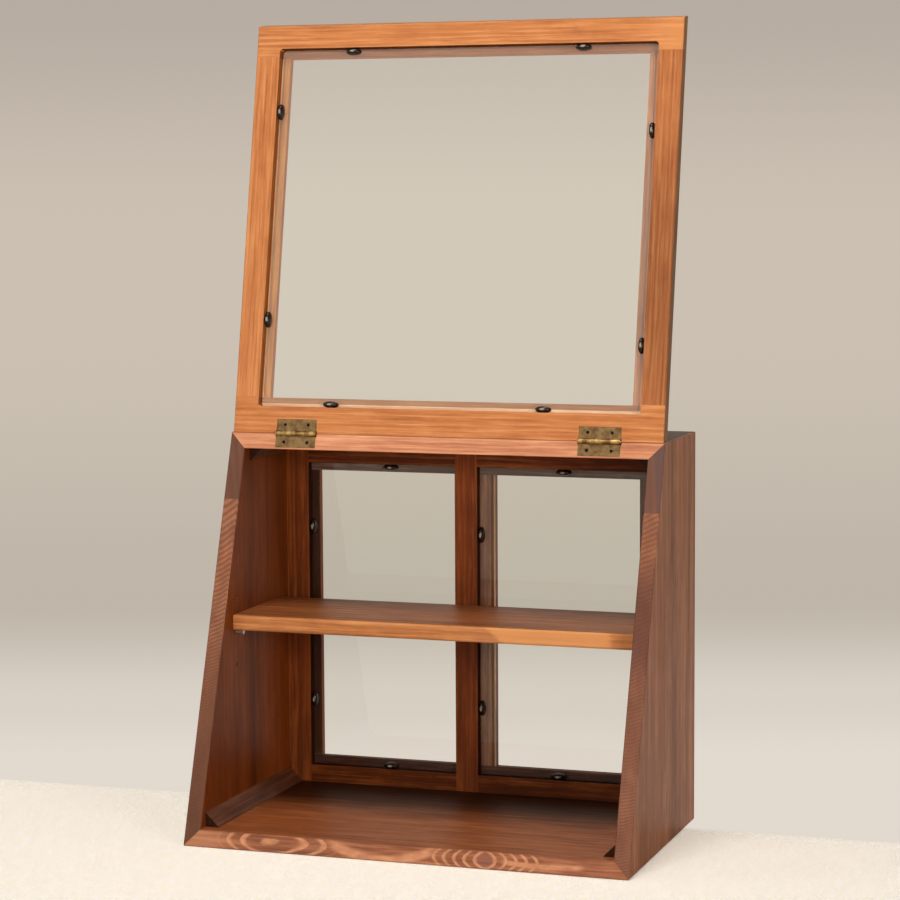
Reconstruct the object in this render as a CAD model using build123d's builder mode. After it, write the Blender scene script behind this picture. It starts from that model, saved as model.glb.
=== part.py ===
"""Seashell display case: a mitred wooden box with a sloping open front, a glazed lid hinged along the top,
two glazed panes in the back and one loose shelf on pins. It is modelled with the lid standing open.

X runs to the right, Y to the back and Z up. The origin is on the table, under the middle of the base.
"""
import os
from math import atan2, cos, degrees, radians, sin, tan

from build123d import *

# ---------------------------------------------------------------- driving dimensions, millimetres
# Case
case_width = 268.0
case_height = 235.0
base_depth = 153.0
top_depth = 73.0
board = 9.5
eased_arris = 0.5

# Glued corner battens of triangular section
batten_leg = 8.5
base_batten_setback = 8.0
top_batten_setback = 8.0

# Back frame, its members halved into each other at the depth of the glass rebate
back_thickness = 9.5
back_left_stile_width = 20.2
back_right_stile_width = 23.4
back_top_rail_width = 19.8
back_bottom_rail_width = 15.9
mullion_width = 26.2
mullion_offset = -2.8
back_left_stile_rebate = 5.5
back_right_stile_rebate = 6.2
back_rail_rebate = 5.2
mullion_left_rebate = 2.0
mullion_right_rebate = 10.2

# Glass and the studs that hold it
glass = 2.0
glass_clearance = 0.5
rebate_depth = 5.2
rebate_corner = 2.2
stud_length = 10.0
stud_stand = 4.2
stud_proud = 0.4
stud_bevel = 1.0
stud_shank = 1.3
stud_shank_length = 6.5
stud_shank_play = 0.03
stud_glass_gap = 0.05

# Lid
lid_inset = 1.2
lid_thickness = 9.0
lid_lean = 11.0
lid_stile_width = 20.5
lid_hinge_rail_width = 21.6
lid_free_rail_width = 18.8
lid_left_rebate = 5.6
lid_right_rebate = 6.2
lid_hinge_end_rebate = 5.9
lid_free_end_rebate = 5.1
lid_floor_clearance = 0.5
lid_seat_gap = 0.05
tenon_thickness = 3.0
tenon_width = 10.0
tenon_length = 8.0
tenon_shoulder = 2.5
glue_line = 0.05

# Butt hinges
hinge_length = 25.0
leaf_reach = 8.5
leaf_thickness = 0.9
barrel = 3.2
hinge_pin = 1.6
pin_running = 0.05
pin_proud = 0.3
pin_drop = 0.3
pin_end = 0.3
knuckles = 4
knuckle_gap = 0.2
barrel_relief = 0.35
mortise_gap = 0.15
left_hinge_inset = 41.7
right_hinge_inset = 38.9

# Hinge screws
screw_pitch = 14.6
screw_from_pin = 5.3
screw_head = 3.5
screw_shank = 1.8
screw_length = 6.5
screw_play = 0.03
recess_width = 0.5
recess_span = 1.9
recess_depth = 0.6

# Shelf and its pins
shelf_thickness = 9.5
shelf_depth = 74.3
shelf_top = 128.0
shelf_back_gap = 13.8
shelf_end_gap = 0.3
shelf_edge_radius = 1.6
shelf_rest_gap = 0.1
peg_diameter = 3.0
peg_bury = 6.0
peg_reach = 4.6
peg_play = 0.05
front_peg_inset = 6.0
back_peg_inset = 8.6
peg_hole_pitch = 20.0

# Places of the studs, set by hand: up a side from its foot, and along an end from the middle of the lid
# or of the pane in the back
lid_left_studs = (68.4, 195.2)
lid_right_studs = (56.1, 181.7)
lid_hinge_end_studs = (-72.4, 59.5)
lid_free_end_studs = (-71.1, 72.5)
back_left_stile_studs = (52.0, 161.0)
mullion_studs = (52.2, 159.5)
back_right_stile_studs = (52.0, 161.0)
back_top_studs = (5.5, 0.7)
back_bottom_studs = (4.3, -2.8)

# ---------------------------------------------------------------- worked out from the driving dimensions
half_width = case_width / 2
inner_half = half_width - board
ceiling = case_height - board
slope = atan2(base_depth - top_depth, case_height)
front_up = Vector(0, sin(slope), cos(slope))
front_out = Vector(0, -cos(slope), sin(slope))
back = base_depth / 2
top_arris = Vector(0, back - top_depth, case_height)
front_plane = Plane(origin=top_arris, x_dir=(1, 0, 0), z_dir=front_out)

# The pins lie a little below and in front of the top front arris, on the line that both leaves share.
lean = radians(lid_lean)
pin_line = top_arris - front_up * pin_drop + front_out * pin_proud
lid_out = Vector(0, -cos(lean), sin(lean))
barrel_radius = barrel / 2
hinge_centres = (-half_width + left_hinge_inset, half_width - right_hinge_inset)

# The lid's inner face is a plane with X along the pins, Y up the open lid and Z out of the wood.
# Its foot is planed to lie flat on the top board when the lid is open, and its tip to be level when shut.
lid_face = Plane(origin=pin_line - lid_out * pin_proud, x_dir=(1, 0, 0), z_dir=lid_out)
lid_section = Plane(origin=lid_face.origin, x_dir=lid_face.y_dir, z_dir=(1, 0, 0))
lid_foot = (case_height + lid_seat_gap - lid_face.origin.Z) / cos(lean)
lid_tip = (pin_line.Z + pin_proud * sin(slope) - lid_floor_clearance) / cos(slope)
lid_low_sight = lid_foot + lid_hinge_rail_width
lid_high_sight = lid_tip - lid_free_rail_width
lid_half = half_width - lid_inset
lid_sight = lid_half - lid_stile_width
lid_rebate_left = -lid_sight - lid_left_rebate
lid_rebate_right = lid_sight + lid_right_rebate
lid_rebate_low = lid_low_sight - lid_hinge_end_rebate
lid_rebate_high = lid_high_sight + lid_free_end_rebate
lid_glass_middle = ((lid_rebate_left + lid_rebate_right) / 2, (lid_rebate_low + lid_rebate_high) / 2)

# The face of the back frame is a plane with X to the right, Y up and Z out of the wood.
back_face = Plane(origin=(0, back - back_thickness, 0), x_dir=(1, 0, 0), z_dir=(0, -1, 0))
back_lap = back_face.offset(-rebate_depth)
back_lip = back_thickness - rebate_depth
back_low_sight = board + back_bottom_rail_width
back_high_sight = ceiling - back_top_rail_width
back_rebate_low = back_low_sight - back_rail_rebate
back_rebate_high = back_high_sight + back_rail_rebate
back_left_sight = -inner_half + back_left_stile_width
back_left_rebate = back_left_sight - back_left_stile_rebate
back_right_sight = inner_half - back_right_stile_width
back_right_rebate = back_right_sight + back_right_stile_rebate
mullion_left = mullion_offset - mullion_width / 2
mullion_right = mullion_offset + mullion_width / 2
mullion_face_left = mullion_left + mullion_left_rebate
mullion_face_right = mullion_right - mullion_right_rebate

shelf_back = back - back_thickness - shelf_back_gap
shelf_front = shelf_back - shelf_depth
peg_height = shelf_top - shelf_thickness - shelf_rest_gap - peg_diameter / 2
peg_rows = (shelf_front + front_peg_inset, shelf_back - back_peg_inset)
peg_levels = (peg_height - peg_hole_pitch, peg_height, peg_height + peg_hole_pitch)

stud_room = rebate_depth - glass
stud_depth = (stud_room - stud_glass_gap - stud_proud) / 2
stud_half_thickness = (stud_room - stud_glass_gap + stud_proud) / 2


def front_at(height):
    """Y of the sloping front at a height above the table."""
    return back - base_depth + height * tan(slope)


def block(low, high, plane, amount):
    """A rectangle between two corners on a plane, extruded inside the part that is being built."""
    with BuildSketch(plane) as outline:
        with Locations(((low[0] + high[0]) / 2, (low[1] + high[1]) / 2)):
            Rectangle(high[0] - low[0], high[1] - low[1])
    extrude(outline.sketch, amount=amount)


def stud_seat(face, x, y, toward):
    """Place of a stud on a rebate wall: face is the frame's face, toward is the way that the wall looks."""
    along = Vector(0, 0, 1).cross(Vector(toward))
    seat = Plane(origin=(x, y, -stud_depth), x_dir=along, z_dir=toward)
    return face.location * seat.location


def peg_seat(hand, y, z):
    """Place on the inner face of a side, left (-1) or right (1), looking into the case."""
    return Plane(origin=(hand * inner_half, y, z), x_dir=(0, 1, 0), z_dir=(-hand, 0, 0))


def write(piece, name):
    """Label a finished piece and write it to its own STEP file."""
    piece.label = name
    export_step(piece, f"parts/{name}.step")


os.makedirs("parts", exist_ok=True)

# ---------------------------------------------------------------- glass stud: a domed head on a square shank
# Made with the rebate wall at Z = 0, the head's length along X and its thickness along Y.
down = (Align.CENTER, Align.CENTER, Align.MAX)
stud_end = stud_length / 2
with BuildPart() as stud:
    with BuildSketch(Plane.XZ):
        with BuildLine():
            ThreePointArc((-stud_end, 0), (0, stud_stand), (stud_end, 0))
            Line((-stud_end, 0), (stud_end, 0))
        make_face()
    extrude(amount=stud_half_thickness, both=True)
    chamfer(edges().filter_by(GeomType.CIRCLE).sort_by(Axis.Y)[-1], stud_bevel)
    Box(stud_shank, stud_shank, stud_shank_length, align=down)

stud_hole_width = stud_shank + 2 * stud_shank_play
with BuildPart() as stud_hole:
    Box(stud_hole_width, stud_hole_width, stud_shank_length + stud_shank_play, align=down)

pane_middles = ((back_left_rebate + mullion_face_left) / 2, (mullion_face_right + back_right_rebate) / 2)
lid_stud_seats = (
    [stud_seat(lid_face, lid_rebate_left, lid_foot + up, (1, 0, 0)) for up in lid_left_studs]
    + [stud_seat(lid_face, lid_rebate_right, lid_foot + up, (-1, 0, 0)) for up in lid_right_studs]
    + [stud_seat(lid_face, across, lid_rebate_low, (0, 1, 0)) for across in lid_hinge_end_studs]
    + [stud_seat(lid_face, across, lid_rebate_high, (0, -1, 0)) for across in lid_free_end_studs]
)
back_stud_seats = (
    [stud_seat(back_face, back_left_rebate, board + up, (1, 0, 0)) for up in back_left_stile_studs]
    + [stud_seat(back_face, mullion_face_right, board + up, (1, 0, 0)) for up in mullion_studs]
    + [stud_seat(back_face, back_right_rebate, board + up, (-1, 0, 0)) for up in back_right_stile_studs]
    + [stud_seat(back_face, middle + across, back_rebate_high, (0, -1, 0))
       for middle, across in zip(pane_middles, back_top_studs)]
    + [stud_seat(back_face, middle + across, back_rebate_low, (0, 1, 0))
       for middle, across in zip(pane_middles, back_bottom_studs)]
)

# ---------------------------------------------------------------- hinge: leaf, bed, pin and screw
# Made flat, with the pin along X, the leaf running out along Y and the face of the wood below the pin.
knuckle_pitch = hinge_length / knuckles
leaf_root = barrel_radius + knuckle_gap
leaf_back = -pin_proud - leaf_thickness
wood_plane = Plane.XY.offset(-pin_proud)
screw_spots = ((-screw_pitch / 2, screw_from_pin), (screw_pitch / 2, screw_from_pin))
awl_hole = screw_shank + 2 * screw_play

with BuildPart() as leaf:
    block((-hinge_length / 2, leaf_root), (hinge_length / 2, leaf_reach), wood_plane, -leaf_thickness)
    own_knuckles = [(knuckle_pitch * (turn + 0.5) - hinge_length / 2, 0) for turn in range(1, knuckles, 2)]
    with Locations(*own_knuckles):
        Cylinder(barrel_radius, knuckle_pitch - knuckle_gap, rotation=(0, 90, 0))
    with Locations(*[(x, y, -pin_proud) for x, y in own_knuckles]):
        Box(knuckle_pitch - knuckle_gap, leaf_root, leaf_thickness,
            align=(Align.CENTER, Align.MIN, Align.MAX))
    Cylinder(hinge_pin / 2 + pin_running, hinge_length, rotation=(0, 90, 0), mode=Mode.SUBTRACT)
    with Locations(*[(x, y, -pin_proud) for x, y in screw_spots]):
        Cone(screw_shank / 2 + screw_play, screw_head / 2 + screw_play, leaf_thickness,
             align=down, mode=Mode.SUBTRACT)

with BuildPart() as hinge_bed:
    block((-hinge_length / 2 - mortise_gap, 0), (hinge_length / 2 + mortise_gap, leaf_reach + mortise_gap),
          Plane.XY.offset(leaf_back), leaf_thickness + pin_proud)
    Cylinder(barrel_radius + barrel_relief, hinge_length + 2 * (pin_end + barrel_relief),
             rotation=(0, 90, 0))
    with Locations(*[(x, y, -pin_proud) for x, y in screw_spots]):
        Box(awl_hole, awl_hole, screw_length + screw_play, align=down)

with BuildPart() as screw:
    Cylinder(screw_shank / 2, screw_length, align=down)
    Cone(screw_shank / 2, screw_head / 2, leaf_thickness, align=down)
    with BuildSketch(Plane.XY):
        Rectangle(recess_span, recess_width)
        Rectangle(recess_width, recess_span)
    extrude(amount=-recess_depth, mode=Mode.SUBTRACT)

case_leaf_seats = [Plane(origin=pin_line + Vector(x, 0, 0), x_dir=(-1, 0, 0), z_dir=front_out)
                   for x in hinge_centres]
lid_leaf_seats = [Plane(origin=pin_line + Vector(x, 0, 0), x_dir=(1, 0, 0), z_dir=lid_out)
                  for x in hinge_centres]


def screw_seats(leaf_seats):
    """Places of the screws of both hinges, their heads flush with the leaves."""
    return [seat.location * Location((x, y, -pin_proud)) for seat in leaf_seats for x, y in screw_spots]


def group(piece, seats):
    """Copies of one piece at several seats, as a group of separate solids."""
    with BuildPart() as copies:
        with Locations(*seats):
            add(piece)
    return copies.part


for side, case_seat, lid_seat in zip(("left", "right"), case_leaf_seats, lid_leaf_seats):
    write(group(leaf.part, [case_seat]), f"{side}_hinge_case_leaf")
    write(group(leaf.part, [lid_seat]), f"{side}_hinge_lid_leaf")
    with BuildPart() as pin:
        with Locations(case_seat):
            Cylinder(hinge_pin / 2, hinge_length + 2 * pin_end, rotation=(0, 90, 0))
    write(pin.part, f"{side}_hinge_pin")
write(group(screw.part, screw_seats(case_leaf_seats)), "hinge_case_screws")
write(group(screw.part, screw_seats(lid_leaf_seats)), "hinge_lid_screws")

# ---------------------------------------------------------------- case: four boards mitred at the corners
tip = eased_arris / 2
side_section = [
    (half_width, eased_arris),
    (half_width - tip, tip),
    (inner_half, board),
    (inner_half, ceiling),
    (half_width - tip, case_height - tip),
    (half_width, case_height - eased_arris),
]


def level_section(outside, inside):
    """Section of the top or the bottom board, from the heights of its outer and inner faces."""
    half = [
        (half_width - eased_arris, outside),
        (half_width - tip, outside + tip * (1 if inside > outside else -1)),
        (inner_half, inside),
    ]
    return half + [(-x, z) for x, z in reversed(half)]


def mitred_board(section, arris_direction):
    """One board of the case: its section run from back to front, cut to the slope and eased there."""
    with BuildPart() as piece:
        with BuildSketch(Plane.XZ.offset(-back)):
            with BuildLine():
                Polyline(*section, close=True)
            make_face()
        extrude(amount=base_depth)
        split(bisect_by=front_plane, keep=Keep.BOTTOM)
        front = faces().sort_by(lambda face: face.normal_at().dot(front_out))[-1]
        chamfer(front.edges().filter_by(Axis((0, 0, 0), arris_direction)), eased_arris)
    return piece.part


for side, hand in (("left", -1), ("right", 1)):
    with BuildPart() as side_board:
        add(mitred_board([(hand * x, z) for x, z in side_section], front_up))
        with Locations(*[peg_seat(hand, y, z) for y in peg_rows for z in peg_levels]):
            Cylinder(peg_diameter / 2 + peg_play, peg_bury + peg_play, align=down, mode=Mode.SUBTRACT)
    write(side_board.part, f"{side}_side")

with BuildPart() as top_board:
    add(mitred_board(level_section(case_height, ceiling), (1, 0, 0)))
    with Locations(*case_leaf_seats):
        add(hinge_bed.part, mode=Mode.SUBTRACT)
write(top_board.part, "top_board")
write(mitred_board(level_section(0, board), (1, 0, 0)), "bottom_board")

# ---------------------------------------------------------------- case: glued battens in the four corners
for level, corner_z, rise, setback in (("bottom", board, 1, base_batten_setback),
                                       ("top", ceiling, -1, top_batten_setback)):
    for side, hand in (("left", -1), ("right", 1)):
        corner_x = hand * inner_half
        with BuildPart() as batten:
            with BuildSketch(back_face):
                with BuildLine():
                    Polyline((corner_x, corner_z), (corner_x - hand * batten_leg, corner_z),
                             (corner_x, corner_z + rise * batten_leg), close=True)
                make_face()
            extrude(amount=back - back_thickness - front_at(corner_z) - setback)
        write(batten.part, f"{level}_{side}_batten")

# ---------------------------------------------------------------- back: frame, two panes and their studs
def back_member(front_low, front_high, lip_low, lip_high):
    """An upright or rail of the back frame: a layer flush with the frame's face, and the lip behind it."""
    with BuildPart() as piece:
        for low, high in zip(front_low, front_high):
            block(low, high, back_face, -rebate_depth)
        block(lip_low, lip_high, back_lap, -back_lip)
        with Locations(*back_stud_seats):
            add(stud_hole.part, mode=Mode.SUBTRACT)
    return piece.part


uprights = (
    ("back_left_stile", -inner_half, back_left_rebate, -inner_half, back_left_sight),
    ("back_mullion", mullion_face_left, mullion_face_right, mullion_left, mullion_right),
    ("back_right_stile", back_right_rebate, inner_half, back_right_sight, inner_half),
)
for name, face_left, face_right, lip_left, lip_right in uprights:
    write(back_member([(face_left, board)], [(face_right, ceiling)],
                      (lip_left, back_low_sight), (lip_right, back_high_sight)), name)

panes = (
    ("left", back_left_rebate, mullion_face_left),
    ("right", mullion_face_right, back_right_rebate),
)
rails = (
    ("back_bottom_rail", board, back_rebate_low, board, back_low_sight),
    ("back_top_rail", back_rebate_high, ceiling, back_high_sight, ceiling),
)
for name, face_low, face_high, lip_low, lip_high in rails:
    write(back_member([(left, face_low) for side, left, right in panes],
                      [(right, face_high) for side, left, right in panes],
                      (-inner_half, lip_low), (inner_half, lip_high)), name)

for side, left, right in panes:
    with BuildPart() as pane:
        block((left + glass_clearance, back_rebate_low + glass_clearance),
              (right - glass_clearance, back_rebate_high - glass_clearance), back_lap, glass)
    write(pane.part, f"back_{side}_glass")
write(group(stud.part, back_stud_seats), "back_glass_studs")

# ---------------------------------------------------------------- lid: rails across, stiles tenoned between
with BuildPart() as lid_rebate:
    with BuildSketch(lid_face):
        with Locations(lid_glass_middle):
            RectangleRounded(lid_rebate_right - lid_rebate_left, lid_rebate_high - lid_rebate_low,
                             rebate_corner)
    extrude(amount=-rebate_depth)

tenon_middle = lid_half - tenon_shoulder - tenon_width / 2
tenon_plane = lid_face.offset(-(lid_thickness - tenon_thickness) / 2)
with BuildPart() as mortise:
    for hand in (-1, 1):
        block((hand * tenon_middle - tenon_width / 2 - glue_line, lid_low_sight - tenon_length - glue_line),
              (hand * tenon_middle + tenon_width / 2 + glue_line, lid_high_sight + tenon_length + glue_line),
              tenon_plane.offset(glue_line), -tenon_thickness - 2 * glue_line)


def lid_rail(low, high, outer_low, outer_high):
    """A rail across the lid, from its edges on the inner face and those on the outer face."""
    with BuildPart() as piece:
        with BuildSketch(lid_section.offset(-lid_half)):
            with BuildLine():
                Polyline((low, 0), (high, 0), (outer_high, -lid_thickness), (outer_low, -lid_thickness),
                         close=True)
            make_face()
        extrude(amount=2 * lid_half)
        outer_edges = edges().filter_by(Axis((0, 0, 0), lid_face.y_dir))
        chamfer(outer_edges, eased_arris)
        add(lid_rebate.part, mode=Mode.SUBTRACT)
        add(mortise.part, mode=Mode.SUBTRACT)
        with Locations(*lid_stud_seats):
            add(stud_hole.part, mode=Mode.SUBTRACT)
    return piece.part


with BuildPart() as hinge_rail:
    add(lid_rail(lid_foot, lid_low_sight, lid_foot + lid_thickness * tan(lean), lid_low_sight))
    with Locations(*lid_leaf_seats):
        add(hinge_bed.part, mode=Mode.SUBTRACT)
write(hinge_rail.part, "lid_hinge_rail")
free_rail = lid_rail(lid_high_sight, lid_tip, lid_high_sight, lid_tip + lid_thickness * tan(slope))
write(free_rail, "lid_free_rail")

for side, hand in (("left", -1), ("right", 1)):
    edge_out = hand * lid_half
    edge_in = hand * (lid_half - lid_stile_width)
    with BuildPart() as stile:
        block((min(edge_in, edge_out), lid_low_sight), (max(edge_in, edge_out), lid_high_sight),
              lid_face, -lid_thickness)
        long_edges = edges().filter_by(Axis((0, 0, 0), lid_face.y_dir))
        chamfer(long_edges.sort_by(Axis.X)[:2] if hand < 0 else long_edges.sort_by(Axis.X)[-2:], eased_arris)
        block((hand * tenon_middle - tenon_width / 2, lid_low_sight - tenon_length),
              (hand * tenon_middle + tenon_width / 2, lid_high_sight + tenon_length),
              tenon_plane, -tenon_thickness)
        add(lid_rebate.part, mode=Mode.SUBTRACT)
        with Locations(*lid_stud_seats):
            add(stud_hole.part, mode=Mode.SUBTRACT)
    write(stile.part, f"lid_{side}_stile")

with BuildPart() as lid_pane:
    with BuildSketch(lid_face.offset(-rebate_depth)):
        with Locations(lid_glass_middle):
            RectangleRounded(lid_rebate_right - lid_rebate_left - 2 * glass_clearance,
                             lid_rebate_high - lid_rebate_low - 2 * glass_clearance,
                             rebate_corner - glass_clearance)
    extrude(amount=glass)
write(lid_pane.part, "lid_glass")
write(group(stud.part, lid_stud_seats), "lid_glass_studs")

# ---------------------------------------------------------------- shelf on its four pins
with BuildPart() as shelf:
    block((shelf_end_gap - inner_half, shelf_front), (inner_half - shelf_end_gap, shelf_back),
          Plane.XY.offset(shelf_top - shelf_thickness), shelf_thickness)
    fillet(edges().filter_by(Axis.X).group_by(Axis.Y)[0], shelf_edge_radius)
write(shelf.part, "shelf")

with BuildPart() as shelf_pins:
    for hand in (-1, 1):
        with Locations(*[peg_seat(hand, y, peg_height) for y in peg_rows]):
            Cylinder(peg_diameter / 2, peg_bury, align=down)
            Cylinder(peg_diameter / 2, peg_reach, align=(Align.CENTER, Align.CENTER, Align.MIN))
write(shelf_pins.part, "shelf_pins")
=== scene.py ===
# %% [markdown]
# # A sloping wooden display case with a glazed lid
# The case is joined from thin boards of stained softwood. It has a glazed frame at
# the back, a loose shelf on steel pins and a glazed lid on two brass butt hinges.
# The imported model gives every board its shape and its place. This lesson gives the
# boards their grain, the metal its tarnish and the panes their gloss, and then sets
# up the floor, the lamps and the camera. Lengths are in metres, and the patterns
# are worked out in millimetres, because a joiner thinks in millimetres.

# %% Load the frame and keep its size
import math

import bpy
import numpy as np
from mathutils import Matrix, Vector


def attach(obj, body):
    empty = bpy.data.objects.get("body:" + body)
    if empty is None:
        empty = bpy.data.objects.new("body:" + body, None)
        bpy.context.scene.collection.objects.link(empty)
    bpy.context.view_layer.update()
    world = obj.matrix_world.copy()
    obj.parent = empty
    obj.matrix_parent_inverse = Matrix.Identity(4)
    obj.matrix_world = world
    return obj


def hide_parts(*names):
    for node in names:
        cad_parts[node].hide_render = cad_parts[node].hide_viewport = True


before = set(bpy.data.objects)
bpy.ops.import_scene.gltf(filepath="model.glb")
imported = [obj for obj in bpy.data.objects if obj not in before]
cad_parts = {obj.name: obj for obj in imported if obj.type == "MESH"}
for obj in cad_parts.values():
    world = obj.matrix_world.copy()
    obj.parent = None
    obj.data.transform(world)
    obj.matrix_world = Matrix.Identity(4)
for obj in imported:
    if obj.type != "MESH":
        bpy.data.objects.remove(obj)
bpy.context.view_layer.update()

# %% [markdown]
# ## Writing shader sums as sums
# A wood pattern is a page of arithmetic on positions. Each node could be placed by
# hand, but then the formula is lost in the wiring. Here a socket is wrapped in a
# small class, so that a + b or 1 - a adds the Math node by itself, and the pattern
# reads as a formula. Every other node comes from one method of the material.

# %% A socket that takes part in sums


class Wire:
    """A number on the surface. Sums, products and powers of wires add Math nodes."""

    def __init__(self, finish, socket):
        self.finish = finish
        self.socket = socket

    def math(self, operation, *values):
        """The Math node of this operation on this wire and further values."""
        sockets = dict(enumerate((self, *values)))
        return self.finish.node("ShaderNodeMath", {"operation": operation}, sockets)

    def __add__(self, other):
        return self.math("ADD", other)

    def __sub__(self, other):
        return self.math("SUBTRACT", other)

    def __mul__(self, other):
        return self.math("MULTIPLY", other)

    def __truediv__(self, other):
        return self.math("DIVIDE", other)

    def __pow__(self, other):
        return self.math("POWER", other)

    def __rsub__(self, other):
        return self.finish.node(
            "ShaderNodeMath", {"operation": "SUBTRACT"}, {0: other, 1: self}
        )

    __radd__ = __add__
    __rmul__ = __mul__

    def root(self):
        """The square root."""
        return self.math("SQRT")

    def size(self):
        """The value without its sign."""
        return self.math("ABSOLUTE")

    def rise(self, low, high):
        """A smooth step: 0 below low, 1 above high, and an S between them."""
        return self.finish.node(
            "ShaderNodeMapRange",
            {"interpolation_type": "SMOOTHSTEP"},
            {"Value": self, "From Min": low, "From Max": high},
        )

    def fall(self, low, high):
        """A smooth step down: 1 below low and 0 above high."""
        return 1 - self.rise(low, high)

    def near(self, middle, inner, outer):
        """1 up to inner away from the middle, and 0 further than outer from it."""
        return (self - middle).size().fall(inner, outer)


class Finish:
    """A new material and its node tree, or only the wiring of a tree that is given."""

    def __init__(self, name, tree=None):
        if tree is None:
            self.material = bpy.data.materials.new(name)
            self.material.use_nodes = True
            tree = self.material.node_tree
        self.tree = tree
        self.tree.nodes.clear()

    def node(self, kind, settings=None, sockets=None, out=0):
        """Adds a node: its settings first, then the values or links of its sockets. out
        is the name or number of the output that comes back."""
        made = self.tree.nodes.new(kind)
        for key, value in (settings or {}).items():
            setattr(made, key, value)
        for key, value in (sockets or {}).items():
            if isinstance(value, Wire):
                self.tree.links.new(value.socket, made.inputs[key])
            else:
                made.inputs[key].default_value = value
        return Wire(self, made.outputs[out]) if made.outputs else None

    def end(self, shader):
        """Links the last shader to the output and returns the material."""
        self.node("ShaderNodeOutputMaterial", {}, {"Surface": shader})
        return self.material


# %% [markdown]
# ## Colours as a painter reads them
# Colours are written as the three numbers from 0 to 255 that a screen shows, and
# turned into the linear light that the renderer works with.

# %% Colour helpers


def paint(red, green, blue):
    """Linear colour of a screen colour: each part is ((c + 0.055) / 1.055) ** 2.4."""
    parts = np.array([red, green, blue]) / 255
    linear = np.where(parts > 0.04045, ((parts + 0.055) / 1.055) ** 2.4, parts / 12.92)
    return (*linear.tolist(), 1.0)


def ratio(there, usual):
    """What turns the usual screen colour into another when it is multiplied by it."""
    pairs = zip(paint(*there)[:3], paint(*usual)[:3])
    return (*(new / old for new, old in pairs), 1.0)


MIX_FACTOR, MIX_FIRST, MIX_SECOND, MIXED = 0, 6, 7, 2


def blend(finish, amount, first, second, how="MIX"):
    """A colour mix: first where amount is 0 and second where it is 1. The sockets go
    by number, because the Mix node has one of each name for every kind of value."""
    return finish.node(
        "ShaderNodeMix",
        {"data_type": "RGBA", "blend_type": how, "clamp_factor": True},
        {MIX_FACTOR: amount, MIX_FIRST: first, MIX_SECOND: second},
        out=MIXED,
    )


def brighten(finish, colour, factor):
    """The colour times a number."""
    return finish.node(
        "ShaderNodeVectorMath", {"operation": "SCALE"}, {0: colour, "Scale": factor}
    )


print("a stained pine early wood is", [round(c, 3) for c in paint(130, 80, 60)])

# %% [markdown]
# ## A board's own axes
# Grain runs along a board, so every pattern needs to know which way that is. A
# board's place is read as three distances in millimetres: along the grain, across
# the board's width and through its thickness. The lid stands open at 11 degrees, so
# its boards have tilted axes, and the same sums serve them.

# %% Axes and noise in millimetres

MM = 0.001
NOISE_SPREAD = 3
LEAN = math.radians(11.0)
PIN_Y, PIN_Z = 3.119, 234.813
X_AXIS, Y_AXIS, Z_AXIS = (1, 0, 0), (0, 1, 0), (0, 0, 1)
LEFTWARD = (-1, 0, 0)
LID_UP = (0, math.sin(LEAN), math.cos(LEAN))
LID_OUT = (0, -math.cos(LEAN), math.sin(LEAN))


class Board:
    """Place on a board in millimetres: along the grain, across it and through it."""

    def __init__(self, finish, along, across, through, seed):
        self.finish = finish
        self.seed = seed
        metres = finish.node("ShaderNodeTexCoord", out="Object")
        self.point = finish.node(
            "ShaderNodeVectorMath",
            {"operation": "SCALE"},
            {0: metres, "Scale": 1 / MM},
        )
        self.grain = along
        self.along = self.distance(along)
        self.across = self.distance(across)
        self.through = self.distance(through)
        self.vector = finish.node(
            "ShaderNodeCombineXYZ",
            {},
            {0: self.along, 1: self.across, 2: self.through},
        )

    def distance(self, axis):
        """How far the place lies along an axis: the dot product with it."""
        return self.finish.node(
            "ShaderNodeVectorMath",
            {"operation": "DOT_PRODUCT"},
            {0: self.point, 1: axis},
            out="Value",
        )

    def noise(self, size, detail=3.0, roughness=0.5, shift=0.0):
        """Noise from about -1 to 1 with cells of the given size along each axis."""
        cells = self.finish.node(
            "ShaderNodeVectorMath",
            {"operation": "MULTIPLY_ADD"},
            {
                0: self.vector,
                1: tuple(1 / s for s in size),
                2: (self.seed * 7.31 + shift, self.seed * 3.17, self.seed * 5.53),
            },
        )
        grey = self.finish.node(
            "ShaderNodeTexNoise",
            {},
            {"Vector": cells, "Scale": 1, "Detail": detail, "Roughness": roughness},
        )
        return (grey - 0.5) * NOISE_SPREAD

    def looks_along(self, axis):
        """How far the face looks along an axis: the dot product of its normal."""
        normal = self.finish.node("ShaderNodeTexCoord", out="Normal")
        return self.finish.node(
            "ShaderNodeVectorMath",
            {"operation": "DOT_PRODUCT"},
            {0: normal, 1: axis},
            out="Value",
        )

    def faces(self, axis):
        """1 on a face that looks along an axis and 0 on the others."""
        return self.looks_along(axis).rise(0.75, 0.95)

    def region(self, axis, **places):
        """1 on faces that look along an axis and lie between the given places, as in
        region(X_AXIS, across=(0, 9)), and 0 elsewhere."""
        here = self.faces(axis)
        for name, (low, high) in places.items():
            place = getattr(self, name)
            here = here * place.math("GREATER_THAN", low)
            here = here * place.math("LESS_THAN", high)
        return here

    def end_grain(self):
        """1 where the face looks along the grain, as at a sawn end, and 0 on a side."""
        return self.looks_along(self.grain).size().rise(0.6, 0.9)


# %% [markdown]
# ## Stained softwood
# A softwood tree adds a wide soft layer each spring and a thin hard one each autumn.
# Cut along the tree, these layers show as lines, arches and eyes. Stain sinks into
# the soft layers and hardly at all into the hard ones, so the lines come out pale on
# a darker ground. The pattern could be painted as stripes, but then the faces and the
# edge of one board wouldn't agree. Here each board has a heart line somewhere beside
# it, and the layer at a point is its distance from that line, so the stripes meet at
# every corner, as they do in real wood.

# %% The layers of a tree


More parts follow.
